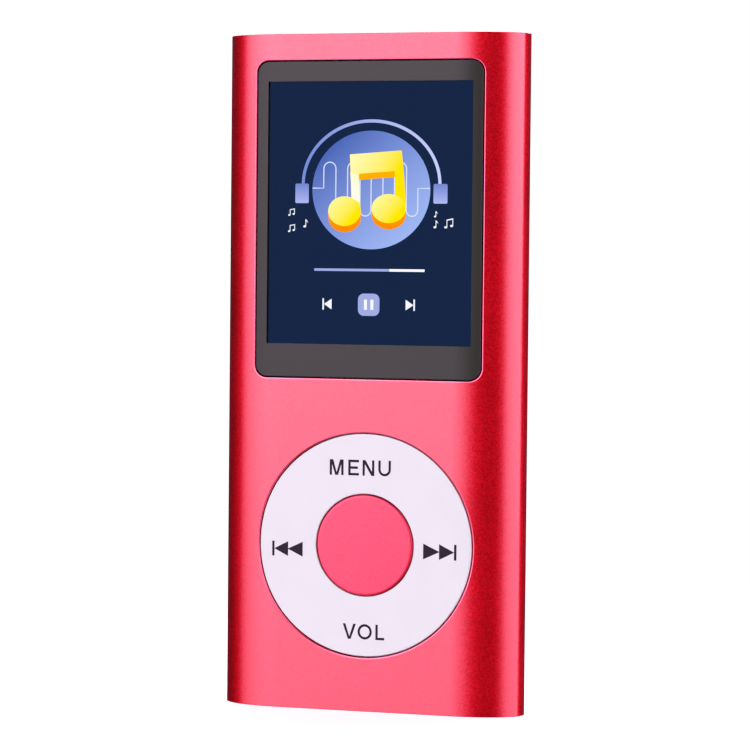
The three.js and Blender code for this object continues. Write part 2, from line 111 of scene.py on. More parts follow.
def along_a_cut(x, y):
    """Whether a line between two facets there would run along the edge of an opening."""
    past_ring = abs(x) - RING_OPENING
    past_slot = abs(y - CARD_SLOT_Y) - CARD_SLOT_DEPTH / 2
    return (-CHAMFER < 2 * past_ring < 3 * CHAMFER
            or x < -HALF_FLAT and -CHAMFER < 4 * past_slot < 5 * CHAMFER)


def section_outline(inset=0.0, steps=64):
    """The section as points in X and Y, drawn in by inset, with steps along each side."""
    points = []
    for side in (1, -1):
        for i in range(steps + 1):
            turn = -math.pi / 2 + math.pi * i / steps
            x = side * (HALF_FLAT + (SIDE - inset) * math.cos(turn))
            y = side * (HALF_DEPTH - inset) * math.sin(turn)
            if not along_a_cut(x, y):
                points.append((x, y))
    return points


def fitted(outline, inset=0.0, side=False):
    """The outline, in X and Z or at the side in Y and Z, with a point wherever it crosses a line
    between two facets of the section, and no other point close to one, so that a cut along it
    has no very short edges."""
    lines = sorted({y for x, y in section_outline() if x < -HALF_FLAT} if side
                   else {x for x, _ in section_outline(inset)})
    points = []
    for (x0, z0), (x1, z1) in zip(outline, outline[1:] + outline[:1]):
        points.append((x0, z0, False))
        crossed = [x for x in lines if min(x0, x1) < x < max(x0, x1)]
        for x in sorted(crossed, reverse=x1 < x0):
            points.append((x, z0 + (z1 - z0) * (x - x0) / (x1 - x0), True))
    fixed = [(x, z) for x, z, crossing in points if crossing]

    def clear(x, z):
        return all(math.hypot(x - a, z - b) > SHORTEST_EDGE for a, b in fixed)

    return [(x, z) for x, z, crossing in points if crossing or clear(x, z)]


def rounded_rectangle(x0, x1, z0, z1, radius, steps=10):
    corners = [(x1 - radius, z0 + radius, -90), (x1 - radius, z1 - radius, 0)]
    corners += [(x0 + radius, z1 - radius, 90), (x0 + radius, z0 + radius, 180)]
    points = []
    for x, z, start in corners:
        for i in range(steps + 1):
            turn = math.radians(start + 90 * i / steps)
            points.append((x + radius * math.cos(turn), z + radius * math.sin(turn)))
    return points


def circle(x, z, radius, steps, radius_z=None):
    height = radius_z or radius
    turns = [2 * math.pi * i / steps for i in range(steps)]
    return [(x + radius * math.cos(t), z + height * math.sin(t)) for t in turns]


def arc(x, z, radius, radius_z, start, end, steps):
    turns = [math.radians(start + (end - start) * i / steps) for i in range(steps + 1)]
    return [(x + radius * math.cos(t), z + radius_z * math.sin(t)) for t in turns]


# ---- mesh helpers
def new_object(name, data):
    piece = bpy.data.objects.new(name, data)
    bpy.context.scene.collection.objects.link(piece)
    return piece


def object_of(name, bm):
    """A new piece from a bmesh, with its faces turned outwards."""
    bmesh.ops.recalc_face_normals(bm, faces=bm.faces)
    mesh = bpy.data.meshes.new(name)
    bm.to_mesh(mesh)
    bm.free()
    return new_object(name, mesh)


def join_ends(bm, near, far):
    """Adds a closed solid between two outlines of equal length and returns its faces."""
    near, far = [[bm.verts.new(spot) for spot in outline] for outline in (near, far)]
    faces = [bm.faces.new(near), bm.faces.new(list(reversed(far)))]
    for i, a in enumerate(near):
        j = (i + 1) % len(near)
        faces.append(bm.faces.new((a, near[j], far[j], far[i])))
    return faces


def prism(name, outline, start, end, along):
    """A closed prism of an outline in the other two axes, from start to end along X, Y or Z."""
    axis = "XYZ".index(along)
    bm = bmesh.new()
    join_ends(bm, *[[(*spot[:axis], depth, *spot[axis:]) for spot in outline]
                    for depth in (start, end)])
    return object_of(name, bm)


def turned(name, profile, turns=None):
    """A solid turned about the ring's axis, from a closed profile of (radius, y) points.
    A radius of 0 makes a single point on the axis. turns are the angles of its steps."""
    bm = bmesh.new()
    rings = []
    turns = turns or [2 * math.pi * i / 144 for i in range(144)]
    steps = len(turns)
    for radius, y in profile:
        around = turns if radius else [0]
        rings.append([bm.verts.new((radius * math.cos(t), y, WHEEL_Z + radius * math.sin(t)))
                      for t in around])
    for a, b in zip(rings, rings[1:] + rings[:1]):
        if len(a) == len(b) == 1:
            continue
        for i in range(steps):
            j = (i + 1) % steps
            corners = [a[i % len(a)], a[j % len(a)], b[j % len(b)], b[i % len(b)]]
            bm.faces.new(list(dict.fromkeys(corners)))
    return object_of(name, bm)


def carve(piece, tools, operation="DIFFERENCE"):
    """Cuts each tool out of the piece, or keeps what both share, and removes the tools."""
    for tool in tools:
        cutter = piece.modifiers.new("carve", "BOOLEAN")
        cutter.operation = operation
        cutter.solver = "EXACT"
        cutter.object = tool
        bpy.context.view_layer.update()
        done = piece.evaluated_get(bpy.context.evaluated_depsgraph_get())
        mesh = bpy.data.meshes.new_from_object(done)
        piece.modifiers.clear()
        piece.data = mesh
        bpy.data.objects.remove(tool)
    return piece


def sharp_edges(bm, degrees, wanted=lambda edge: True):
    return [edge for edge in bm.edges if len(edge.link_faces) == 2
            and edge.calc_face_angle(0) > math.radians(degrees) and wanted(edge)]


def round_edges(piece, width, wanted=lambda edge: True, segments=3, material=None):
    """Rounds the piece's sharp edges, or only the wanted ones. The new faces may get a material
    of their own, by its place in the piece's list."""
    bm = bmesh.new()
    bm.from_mesh(piece.data)
    bmesh.ops.remove_doubles(bm, verts=bm.verts, dist=1e-7)
    edges = sharp_edges(bm, 30, wanted)
    made = bmesh.ops.bevel(bm, geom=edges, offset=width, segments=segments, profile=0.5,
                           affect="EDGES", clamp_overlap=False, miter_outer="ARC")
    if material is not None:
        for face in made["faces"]:
            face.material_index = material
    bm.to_mesh(piece.data)
    bm.free()
    return piece


def cut_through(bm, point, normal):
    """Adds edges all over the mesh along a plane."""
    everything = bm.verts[:] + bm.edges[:] + bm.faces[:]
    bmesh.ops.bisect_plane(bm, geom=everything, plane_co=point, plane_no=normal)


def smooth(piece, degrees=35):
    piece.data.shade_smooth()
    piece.data.set_sharp_from_angle(angle=math.radians(degrees))
    return piece


def follow_section(piece, inset=0.0, skip=None):
    """Gives the faces that lie on the tube's surface its exact normals, so that they shade as one
    smooth curve, whatever their outlines. It leaves out the faces of one material."""
    smooth(piece)
    mesh = piece.data
    on_surface = [off_section(*vertex.co[:2], inset) < 0.03 * MM for vertex in mesh.vertices]
    normals = [Vector(corner.vector) for corner in mesh.corner_normals]
    for face in mesh.polygons:
        if face.material_index == skip:
            continue
        for corner in face.loop_indices:
            vertex = mesh.loops[corner].vertex_index
            if not on_surface[vertex]:
                continue
            x, y, _ = mesh.vertices[vertex].co
            exact = section_normal(x, y)
            if face.normal.dot(exact) > 0.98:
                normals[corner] = exact
    mesh.normals_split_custom_set([tuple(n) for n in normals])
    return piece


def dress(piece, body, slot, *materials, stands_for=()):
    """Gives a piece its materials, its body and the CAD nodes that it stands for. Each face keeps
    its place in the list of materials. The slot is not used."""
    places = [face.material_index for face in piece.data.polygons]
    piece.data.materials.clear()
    for material in materials:
        piece.data.materials.append(material)
    piece.data.polygons.foreach_set("material_index", places)
    piece.data.update()
    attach(piece, body)
    if stands_for:
        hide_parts(*stands_for)
    return piece


# ---- material helpers
class Nodes:
    """A node tree, with short calls for the nodes that this script adds to it."""

    def __init__(self, tree):
        self.tree = tree

    def fill(self, node, inputs):
        """Sets a node's inputs, by name or by number, or links them to other nodes. A node stands
        for its first output."""
        for key, value in inputs.items():
            socket = node.inputs[key.replace("_", " ") if isinstance(key, str) else key]
            if isinstance(value, bpy.types.Node):
                value = value.outputs[0]
            if isinstance(value, bpy.types.NodeSocket):
                self.tree.links.new(value, socket)
            else:
                socket.default_value = value
        return node

    def node(self, kind, *values, settings=None, **inputs):
        """Adds a node, with values for its first inputs and for the inputs that are named."""
        made = self.tree.nodes.new("ShaderNode" + kind)
        for label, value in (settings or {}).items():
            setattr(made, label, value)
        return self.fill(made, {**dict(enumerate(values)), **inputs})

    def math(self, operation, *values):
        return self.node("Math", *values, settings={"operation": operation})

    def vector_math(self, operation, *values):
        return self.node("VectorMath", *values, settings={"operation": operation})

    def ramp(self, value, reach, stops):
        """A line through stops of (position, level), read at a value between -reach and reach."""
        top = max(level for _, level in stops)
        share = self.node("MapRange", value, From_Min=-reach, From_Max=reach)
        curve = self.node("ValToRGB", share)
        marks = curve.color_ramp.elements
        while len(marks) < len(stops):
            marks.new(0.5)
        for mark, (position, level) in zip(marks, stops):
            mark.position = (position + reach) / (2 * reach)
            mark.color = (level / top,) * 3 + (1,)
        return self.math("MULTIPLY", curve, top)


class Shader(Nodes):
    """A principled material, with short calls for the textures that feed it. Sizes, heights and
    depths of textures are in millimetres."""

    def __init__(self, name, color, roughness, metallic=0.0, **inputs):
        self.material = bpy.data.materials.new(name)
        self.material.use_nodes = True
        super().__init__(self.material.node_tree)
        self.principled = self.tree.nodes["Principled BSDF"]
        self.set(Base_Color=(*color, 1), Roughness=roughness, Metallic=metallic, **inputs)
        self.place = self.node("TexCoord").outputs["Object"]

    def set(self, **inputs):
        self.fill(self.principled, inputs)

    def grid(self, size, stretch=(1, 1, 1)):
        """The object's coordinates in steps of a size, drawn out by stretch."""
        return self.node("Mapping", self.place, Scale=tuple(1 / (size * MM * s) for s in stretch))

    def noise(self, size, detail=2.0, stretch=(1, 1, 1)):
        """Noise whose blotches are about a size across, drawn out by stretch."""
        made = self.node("TexNoise", Vector=self.grid(size, stretch), Scale=1.0, Detail=detail)
        return made.outputs["Fac"]

    def cells(self, size):
        """Many cells, each about a size across."""
        return self.node("TexVoronoi", Vector=self.grid(size), Scale=1.0)

    def spread(self, value, low, high, start=0.3, end=0.7):
        """Maps a value from start..end to low..high."""
        return self.node("MapRange", value, start, end, low, high)

    def blend(self, value, first, second, start=0.3, end=0.7):
        """Two colours, mixed as a value goes from start to end."""
        mix = self.node("Mix", self.spread(value, 0.0, 1, start, end),
                        settings={"data_type": "RGBA"})
        for label, color in (("A", first), ("B", second)):
            socket = next(s for s in mix.inputs if s.name == label and s.type == "RGBA")
            socket.default_value = (*color, 1)
        return next(s for s in mix.outputs if s.type == "RGBA")

    def mottle(self, *values):
        """Gives the base a blend of two colours, with the values that blend() takes."""
        self.set(Base_Color=self.blend(*values))

    def vary(self, value, low, high):
        """Gives the base a roughness that runs from low to high."""
        self.set(Roughness=self.spread(value, low, high))

    def bump(self, height, distance, strength=1.0, target="Normal"):
        """Adds a relief of some height over what is there already."""
        made = self.node("Bump", Strength=strength, Distance=distance * MM, Height=height)
        normal = self.principled.inputs[target]
        if normal.links:
            self.fill(made, {"Normal": normal.links[0].from_socket})
        self.fill(self.principled, {target: made})


# ---- materials
ANODISED = (0.98, 0.013, 0.036)
ANODISED_DEEP = (0.66, 0.004, 0.014)


def anodised_blasted():
    """Aluminium, fine-blasted and dyed: a sparkling grain under a thin clear oxide."""
    shader = Shader("anodised_blasted", ANODISED, 0.45, 1, Coat_Weight=1.0, Coat_Roughness=0.16,
                    Coat_IOR=1.75)
    grain = shader.noise(0.14, 1)
    shader.bump(grain, 0.02, 0.6)
    shader.bump(grain, 0.01, 0.5, "Coat Normal")
    shader.vary(shader.noise(9, 3.0), 0.43, 0.48)
    sparkle = shader.node("SeparateColor", shader.cells(0.17).outputs["Color"]).outputs["Red"]
    shader.mottle(sparkle, ANODISED_DEEP, ANODISED, 0.0, 1)
    return shader.material


def anodised_painted_highlight():
    """A lighter, glossier copy of the anodised red for the chamfer round each opening: a painted
    highlight, so that the edges read as catching the light.
    """
    shader = Shader("anodised_painted_highlight", (0.96, 0.14, 0.2), 0.22, 1, Coat_Weight=0.6,
                    Coat_Roughness=0.15)
    lines = shader.noise(0.09, 2.0)
    shader.bump(lines, 0.002, 0.3)
    shader.vary(lines, 0.18, 0.28)
    return shader.material


def painted_shade_inside():
    """The tube's inner wall, plain, in a darker copy of the anodised red: painted shade inside the
    tube.
    """
    shader = Shader("anodised_shaded_inside", (0.3, 0.01, 0.03), 0.5, 1)
    shader.bump(shader.noise(0.4, 2.0, (1, 1, 20)), 0.01, 0.4)
    return shader.material


def satin_plastic(name, color, roughness=0.42, grain=0.25, depth=0.006, shade=0.9):
    """Moulded plastic with a fine spark-eroded grain and faint unevenness of colour and gloss."""
    shader = Shader(name, color, roughness)
    shader.bump(shader.noise(grain, 3.0), depth, 0.5)
    broad = shader.noise(6, 3.0)
    shader.vary(broad, roughness - 0.05, roughness + 0.05)
    shader.mottle(broad, tuple(c * shade for c in color), color)
    return shader.material


def ring_plastic():
    """Satin white plastic with a fine grain and a faint unevenness."""
    shader = Shader("ring_plastic", (0.75, 0.735, 0.655), 0.4, Subsurface_Weight=0.04,
                    Subsurface_Radius=(0.6 * MM, 0.5 * MM, 0.5 * MM))
    shader.bump(shader.noise(0.22, 3.0), 0.004, 0.4)
    broad = shader.noise(5, 3.0)
    shader.vary(broad, 0.36, 0.46)
    shader.mottle(broad, (0.735, 0.72, 0.64), (0.765, 0.75, 0.67))
    return shader.material


def legend_ink():
    """Near-black pad-printed ink, with a slightly broken surface."""
    shader = Shader("legend_ink", (0.03, 0.025, 0.027), 0.6, Specular_IOR_Level=0.2)
    fine = shader.noise(0.12, 2.0)
    shader.mottle(fine, (0.018, 0.015, 0.016), (0.035, 0.03, 0.031))
    shader.bump(fine, 0.003, 0.4)
    return shader.material


def button_finish():
    """The centre button's metallic paint, a little deeper in colour than the tube."""
    shader = Shader("button_finish", (0.8, 0.015, 0.05), 0.42, 1, Coat_Weight=1.0,
                    Coat_Roughness=0.3, Coat_IOR=1.6)
    grain = shader.noise(0.2, 1)
    shader.bump(grain, 0.02, 0.6)
    shader.mottle(grain, (0.66, 0.01, 0.035), (0.82, 0.018, 0.055))
    shader.vary(shader.noise(4), 0.38, 0.46)
    return shader.material


def lens_border_gloss():
    """The lens where charcoal is printed on its back: deep gloss with hairline marks."""
    shader = Shader("lens_border", (0.047, 0.047, 0.035), 0.06, Specular_IOR_Level=0.18,
                    Specular_Tint=(1, 0.98, 0.88, 1))
    shader.bump(shader.noise(0.35, 2.0, (1, 1, 14)), 0.0006, 0.3)
    shader.vary(shader.noise(7, 3.0), 0.04, 0.09)
    return shader.material


def lens_clear():
    """The clear middle of the lens, with an anti-reflection coating."""
    shader = Shader("lens_clear", (1, 1, 1), 0.02, Transmission_Weight=1.0, IOR=1.12,
                    Specular_Tint=(0, 0, 0, 1))
    shader.vary(shader.noise(10, 2.0), 0.0, 0.03)
    return shader.material


def display_black():
    """The display's front sheet, where no part of the picture is lit."""
    shader = Shader("display_black", (0.006, 0.007, 0.012), 0.25, Specular_IOR_Level=0.2)
    shader.vary(shader.noise(6), 0.2, 0.3)
    return shader.material


def steel(name="plated_steel", color=(0.62, 0.62, 0.64), roughness=0.28, along=(1, 1, 12)):
    """Plated sheet metal, drawn out along one axis."""
    shader = Shader(name, color, roughness, 1)
    brushed = shader.noise(0.12, 3.0, along)
    shader.bump(brushed, 0.004, 0.4)
    shader.vary(shader.noise(3, 3.0), roughness - 0.06, roughness + 0.1)
    shader.mottle(brushed, color, tuple(min(1, c * 1.15) for c in color))
    return shader.material


def circuit_board():
    """Green solder mask over glass fibre: the weave shows faintly, and copper runs under it."""
    shader = Shader("circuit_board", (0.012, 0.13, 0.06), 0.35, Coat_Weight=0.5, Coat_Roughness=0.2)
    tracks = shader.noise(1.2, 1, (1, 1, 6))
    shader.mottle(tracks, (0.008, 0.10, 0.045), (0.02, 0.2, 0.09), 0.48, 0.52)
    shader.bump(tracks, 0.02, 0.4)
    shader.bump(shader.noise(0.3, 2.0), 0.006, 0.4)
    return shader.material


def foil_pouch():
    """The battery's laminate foil, softly creased."""
    shader = Shader("foil_pouch", (0.6, 0.61, 0.63), 0.34, 0.9)
    creases = shader.noise(4, 5.0)
    shader.bump(creases, 0.2, 0.35)
    shader.vary(creases, 0.28, 0.45)
    return shader.material


def closed_foam():
    """Black foam with closed cells."""
    shader = Shader("closed_foam", (0.02, 0.02, 0.021), 0.9, Sheen_Weight=0.2)
    shader.bump(shader.cells(0.4), 0.08, 0.7)
    return shader.material


def copper_film():
    """Amber film with copper tracks running along it."""
    shader = Shader("copper_film", (0.5, 0.22, 0.03), 0.35, Coat_Weight=0.4, Coat_Roughness=0.15)
    tracks = shader.noise(0.5, 0.0, (1, 40, 40))
    shader.mottle(tracks, (0.42, 0.17, 0.02), (0.7, 0.36, 0.12), 0.47, 0.53)
    shader.bump(tracks, 0.02, 0.4)
    return shader.material


def wire_sleeve(name, color):
    """A wire's soft coloured sleeve."""
    shader = Shader(name, color, 0.45, Sheen_Weight=0.1)
    shader.bump(shader.noise(0.3, 3.0), 0.01, 0.5)
    shader.vary(shader.noise(1, 2.0), 0.38, 0.55)
    return shader.material


BLASTED = anodised_blasted()
HIGHLIT_CHAMFER = anodised_painted_highlight()
INSIDE = painted_shade_inside()
CAP_PLASTIC = satin_plastic("cap_moulding", (0.42, 0.012, 0.035), 0.4)
BLACK_PLASTIC = satin_plastic("black_moulding", (0.02, 0.02, 0.022), 0.42, shade=0.8)
FRAME_PLASTIC = satin_plastic("frame_moulding", (0.42, 0.41, 0.39), 0.5)
WHITE_PLASTIC = satin_plastic("reflector_white", (0.8, 0.8, 0.78), 0.45)
RING_WHITE = ring_plastic()
INK = legend_ink()
BUTTON_RED = button_finish()
LENS_BORDER = lens_border_gloss()
LENS_CLEAR = lens_clear()
DISPLAY_BLACK = display_black()
STEEL = steel()
SPRING = steel("spring_bronze_plate", (0.72, 0.5, 0.22), 0.3)
GOLD = steel("gold_contact", (0.9, 0.66, 0.25), 0.2)
BOARD = circuit_board()
CHIP = satin_plastic("chip_package", (0.022, 0.022, 0.025), 0.55, 0.2, 0.008, 0.75)
POUCH = foil_pouch()
FOAM = closed_foam()
FILM = copper_film()
RED_WIRE = wire_sleeve("red_sleeve", (0.55, 0.01, 0.015))
BLACK_WIRE = wire_sleeve("black_sleeve", (0.015, 0.015, 0.015))


# ---- pieces made afresh
def moved_outline(points, dx, dz):
    return [(x + dx, z + dz) for x, z in points]


def on_face(vertices, inset=0.0):
    """True if every vertex lies on the tube's outer surface, drawn in by inset."""
    return all(abs(abs(v.co.y) - face_depth(v.co.x, inset)) < 6e-6 for v in vertices)


def card_slot():
    """The outline in Y and Z of the slot in the left side, with round ends."""
    half, r = CARD_SLOT_HEIGHT / 2, CARD_SLOT_DEPTH / 2
    return fitted(rounded_rectangle(CARD_SLOT_Y - r, CARD_SLOT_Y + r, CARD_SLOT_Z - half,
                                    CARD_SLOT_Z + half, r * 0.98, 8), side=True)


def make_tube():
    """The anodised tube, with chamfers round its window, ring opening and card slot that are painted
    lighter as a highlight.
    """
    tube = prism("tube_shell", section_outline(), 0, HEIGHT, "Z")
    window = rounded_rectangle(lens_low.x - LENS_GAP, lens_high.x + LENS_GAP, lens_low.z - LENS_GAP,
                               lens_high.z + LENS_GAP, WINDOW_RADIUS)
    carve(tube, [
        prism("bore", section_outline(WALL), -MM, HEIGHT + MM, "Z"),
        prism("window", fitted(window), FRONT - MM, 0, "Y"),
        prism("wheel", fitted(circle(0, WHEEL_Z, RING_OPENING, 160)), FRONT - MM, 0, "Y"),
        prism("slot", card_slot(), -HALF_WIDTH - MM, -HALF_WIDTH + 4 * MM, "X"),
    ])

    def from_end(edge):
        return [min(v.co.z, HEIGHT - v.co.z) for v in edge.verts]

    def at_end(edge):
        return max(from_end(edge)) < 1e-6 and on_face(edge.verts)

    def at_opening(edge):
        return min(from_end(edge)) > MM and on_face(edge.verts)

    round_edges(tube, 0.1 * MM, at_end, 3)
    skin, cut, bore = range(3)  # places in the list of materials
    # The chamfer faces take a lighter copy of the anodised red: a painted highlight along the
    # openings.
    round_edges(tube, CHAMFER, at_opening, 4, cut)
    follow_section(tube, skip=cut)
    # The inner wall's faces take a darker copy of the anodised red: painted shade.
    for face in tube.data.polygons:
        x, y, _ = face.center
        if face.material_index == skin and face.normal.dot(section_normal(x, y)) < -0.5:
            face.material_index = bore
    return dress(tube, CASING, "anodised_red", BLASTED, HIGHLIT_CHAMFER, INSIDE, stands_for=["body_tube"])


LENS_RECESS = 0.03 * MM


def make_lens():
    """The acrylic lens: a charcoal border, and a clear middle over the picture."""
    outline = rounded_rectangle(lens_low.x, lens_high.x, lens_low.z, lens_high.z,
                                WINDOW_RADIUS - LENS_GAP)
    lens = prism("lens_sheet", fitted(outline, LENS_RECESS), FRONT - MM, LENS_BACK, "Y")
    carve(lens, [prism("curve", section_outline(LENS_RECESS), 0, HEIGHT, "Z")], "INTERSECT")
    round_edges(lens, 0.1 * MM, lambda edge: on_face(edge.verts, LENS_RECESS))
    bm = bmesh.new()
    bm.from_mesh(lens.data)
    cuts = [((x, 0, 0), (1, 0, 0)) for x in (SCREEN_LEFT, SCREEN_RIGHT)]
    cuts += [((0, 0, z), (0, 0, 1)) for z in (SCREEN_LOW, SCREEN_HIGH)]
    for point, normal in cuts:
        cut_through(bm, point, normal)
    for face in bm.faces:
        middle = face.calc_center_median()
        inside = SCREEN_LEFT < middle.x < SCREEN_RIGHT and SCREEN_LOW < middle.z < SCREEN_HIGH
        face.material_index = int(inside)
    bm.to_mesh(lens.data)
    bm.free()
    follow_section(lens, LENS_RECESS)
    return dress(lens, CASING, "smoked_lens", LENS_BORDER, LENS_CLEAR, stands_for=["display_lens"])


def make_ring():
    """The rocker ring: its face follows the tube's curve, and its rims are rounded."""
    flange_top, back, bore, step = -2.95 * MM, ring_low.y + 1.94 * MM, 8 * MM, -3.4 * MM
    uncut = FRONT - MM
    profile = [(RING_OUTER, uncut), (RING_OUTER, flange_top), (RING_FLANGE, flange_top),
               (RING_FLANGE, back), (bore, back), (bore, step), (RING_INNER, step),
               (RING_INNER, uncut)]
    rim = fitted(circle(0, 0, RING_OUTER, 160), RING_RECESS)
    ring = turned("ring_moulding", profile, [math.atan2(z, x) for x, z in rim])
    carve(ring, [prism("curve", section_outline(RING_RECESS), 0, HEIGHT, "Z")], "INTERSECT")
    round_edges(ring, 0.2 * MM, lambda edge: on_face(edge.verts, RING_RECESS), 4)
    follow_section(ring, RING_RECESS)
    return dress(ring, RING, "ring_white", RING_WHITE, stands_for=["control_ring"])


def make_button():
    """The centre button: a faintly crowned disc with a rounded rim, a flange and a stem."""
    face, crown, rim = FRONT + RING_RECESS, 0.03 * MM, 0.22 * MM
    flange_front, flange_back, stem = -3.0 * MM, -2.6 * MM, 1.4 * MM
    profile = [(0, face)]
    profile += [(BUTTON_RADIUS * t, face + crown * t * t) for t in (0.2, 0.4, 0.6, 0.8, 0.93)]
    for i in range(6):
        turn = math.radians(18 * i)
        radius = BUTTON_RADIUS - rim * (1 - math.sin(turn))
        profile.append((radius, face + crown + rim * (1 - math.cos(turn))))
    profile += [(BUTTON_RADIUS, flange_front), (BUTTON_FLANGE, flange_front),
                (BUTTON_FLANGE, flange_back), (stem, flange_back), (stem, button_high.y),
                (0, button_high.y)]
    button = turned("button_disc", profile)
    smooth(button)
    return dress(button, BUTTON, "button_red", BUTTON_RED, stands_for=["centre_button"])


# ---- printed legends
INK_DEPTH = 0.008 * MM  # above the ring's face, and as much below it
STROKE = 0.33 * MM


def letter_e(w, h, t):
    middle = h / 2
    return [(0, 0), (w, 0), (w, t), (t, t), (t, middle - t / 2), (w * 0.9, middle - t / 2),
            (w * 0.9, middle + t / 2), (t, middle + t / 2), (t, h - t), (w, h - t), (w, h), (0, h)]


def letter_l(w, h, t):
    return [(0, 0), (w, 0), (w, t), (t, t), (t, h), (0, h)]


def letter_m(w, h, t):
    half, foot, notch = w / 2, t * 0.62, h - 1.9 * t
    return [(0, 0), (t, 0), (t, notch), (half - foot, 0), (half + foot, 0), (w - t, notch),
            (w - t, 0), (w, 0), (w, h), (w - t * 1.5, h), (half, t * 1.15), (t * 1.5, h), (0, h)]


def letter_n(w, h, t):
    lean = t * 1.25
    return [(0, 0), (t, 0), (t, h - 1.7 * t), (w - lean, 0), (w, 0), (w, h), (w - t, h),
            (w - t, 1.7 * t), (lean, h), (0, h)]


def letter_u(w, h, t):
    r, inner = w / 2, w / 2 - t
    outside = arc(r, r, r, r, 180, 360, 20)
    inside = arc(r, r, inner, inner, 360, 180, 20)
    return [(0, h), *outside, (w, h), (w - t, h), *inside, (t, h)]


def letter_v(w, h, t):
    half, foot = w / 2, t * 0.6
    return [(half - foot, 0), (half + foot, 0), (w, h), (w - t * 1.12, h), (half, t * 1.1),
            (t * 1.12, h), (0, h)]


def letter_o(w, h, t, start=90):
    """Half of the letter: the left half, or from start -90 the right half."""
    outside = arc(w / 2, h / 2, w / 2, h / 2, start, start + 180, 24)
    inside = arc(w / 2, h / 2, w / 2 - t, h / 2 - t, start + 180, start, 24)
    return outside + inside


def letter_o_right(w, h, t):
    return letter_o(w, h, t, -90)


def word(letters, height, x, z):
    """Outlines of letters given as (outline, width, gap after it), centred about (x, z)."""
    total = sum(width + gap for _, width, gap in letters)
    at, shapes = x - total / 2, []
    for outline, width, gap in letters:
        shapes.append(moved_outline(outline(width, height, STROKE), at, z - height / 2))
        at += width + gap
    return shapes


def print_on_ring(name, outlines):
    """Lays flat outlines in X and Z on the ring's curved face as a thin closed film of ink."""
    bm = bmesh.new()
    for outline in outlines:
        bm.faces.new([bm.verts.new((x, 0, z)) for x, z in outline])
    bmesh.ops.remove_doubles(bm, verts=bm.verts, dist=1e-7)
    for i in range(-60, 61):
        x = i * 0.25 * MM
        if abs(x) >= HALF_FLAT - 1e-6:
            cut_through(bm, (x, 0, 0), (1, 0, 0))
    made = bmesh.ops.extrude_face_region(bm, geom=bm.faces[:])
    lifted = {v for v in made["geom"] if isinstance(v, bmesh.types.BMVert)}
    for vertex in bm.verts:
        surface = -face_depth(vertex.co.x, RING_RECESS)
        vertex.co.y = surface + (-INK_DEPTH if vertex in lifted else INK_DEPTH)
    ink = object_of(name, bm)
    smooth(ink, 30)
    return dress(ink, RING, "ring_white", INK)


def skip_icon(x, z, width, height, side):
    """A bar and two triangles pointing at it. side is 1 for next and -1 for previous."""
    bar = 0.34 * MM
    half, reach = height / 2, width / 2
    triangle = (width - bar * 0.6) / 2
    shapes = [[(reach - bar, -half), (reach, -half), (reach, half), (reach - bar, half)]]
    for start in (-reach, -reach + triangle):
        tip = min(start + triangle * 1.04, reach - bar * 0.9)
        shapes.append([(start, -half), (tip, 0), (start, half)])
    return [[(x + side * u, z + v) for u, v in shape] for shape in shapes]


def make_legends():
    """The two words and the two signs on the ring."""
    menu = [(letter_m, 1.95 * MM, 0.66 * MM), (letter_e, 1.5 * MM, 0.5 * MM),
            (letter_n, 1.65 * MM, 0.56 * MM), (letter_u, 1.75 * MM, 0)]
    vol = [(letter_v, 1.85 * MM, 0.24 * MM), (letter_o, 2.0 * MM, -2.0 * MM),
           (letter_o_right, 2.0 * MM, 0.5 * MM), (letter_l, 1.25 * MM, 0)]
    print_on_ring("legend_menu", word(menu, 2.08 * MM, -0.67 * MM, WHEEL_Z + 10.3 * MM))
    print_on_ring("legend_volume", word(vol, 2.05 * MM, 0, WHEEL_Z - 11.5 * MM))
    print_on_ring("legend_previous",
                  skip_icon(-10.85 * MM, WHEEL_Z - 0.82 * MM, 4.35 * MM, 2.0 * MM, -1))
    print_on_ring("legend_next", skip_icon(10.5 * MM, WHEEL_Z - 0.5 * MM, 4.6 * MM, 2.1 * MM, 1))


# ---- the lit picture
LAYER = 0.006 * MM  # each part of the picture lies this much in front of the last
PICTURE_SHIFT = 0.15 * MM  # the picture's middle, a little right of the lens's middle
POLARISER_FRONT = LENS_BACK + 0.07 * MM

# Places in the picture are in millimetres: X from its middle, and Z as in the frame.
DISC_X, DISC_Z, DISC_HALF_WIDTH, DISC_HALF_HEIGHT = 0.04, 69.27, 8.24, 7.85
HEADS = {"left": (-3.62, 66.45, 2.3, 1.97), "right": (2.55, 66.82, 2.38, 1.92)}  # as for the disc
NOTE_DEPTH, NOTE_STEP = 0.82, 0.2  # of the orange side that shows below the notes
CUP_LOW, CUP_HIGH = 67.5, 70.1
BAR_LOW, BAR_HIGH, BAR_START, BAR_REACHED, BAR_END = 58.5, 58.83, -7.8, 2.75, 7.62


def light_color(name, color, second=None, start=None, end=None):
    """A lit part of the screen: one colour, or a gradient between two points of the picture."""
    shader = Shader(name, (0, 0, 0), 0.3, Specular_IOR_Level=0.0, Emission_Strength=1.0,
                    Emission_Color=(*color, 1))
    if second is not None:
        places = [Vector((x * MM + PICTURE_SHIFT, POLARISER_FRONT, z * MM)) for x, z in (start, end)]
        line = places[1] - places[0]
        away = shader.vector_math("SUBTRACT", shader.place, places[0])
        along = shader.vector_math("DOT_PRODUCT", away, line / line.length_squared)
        shader.set(Emission_Color=shader.blend(along.outputs["Value"], color, second, 0.0, 1))
    return shader.material


def ribbon(path, width):
    """The outline of a line of even width along a path of points."""
    left, right = [], []
    for i, point in enumerate(path):
        before, after = path[max(i - 1, 0)], path[min(i + 1, len(path) - 1)]
        along = Vector((after[0] - before[0], after[1] - before[1])).normalized()
        side = Vector((-along.y, along.x)) * width / 2
        left.append((point[0] + side.x, point[1] + side.y))
        right.append((point[0] - side.x, point[1] - side.y))
    return left, right


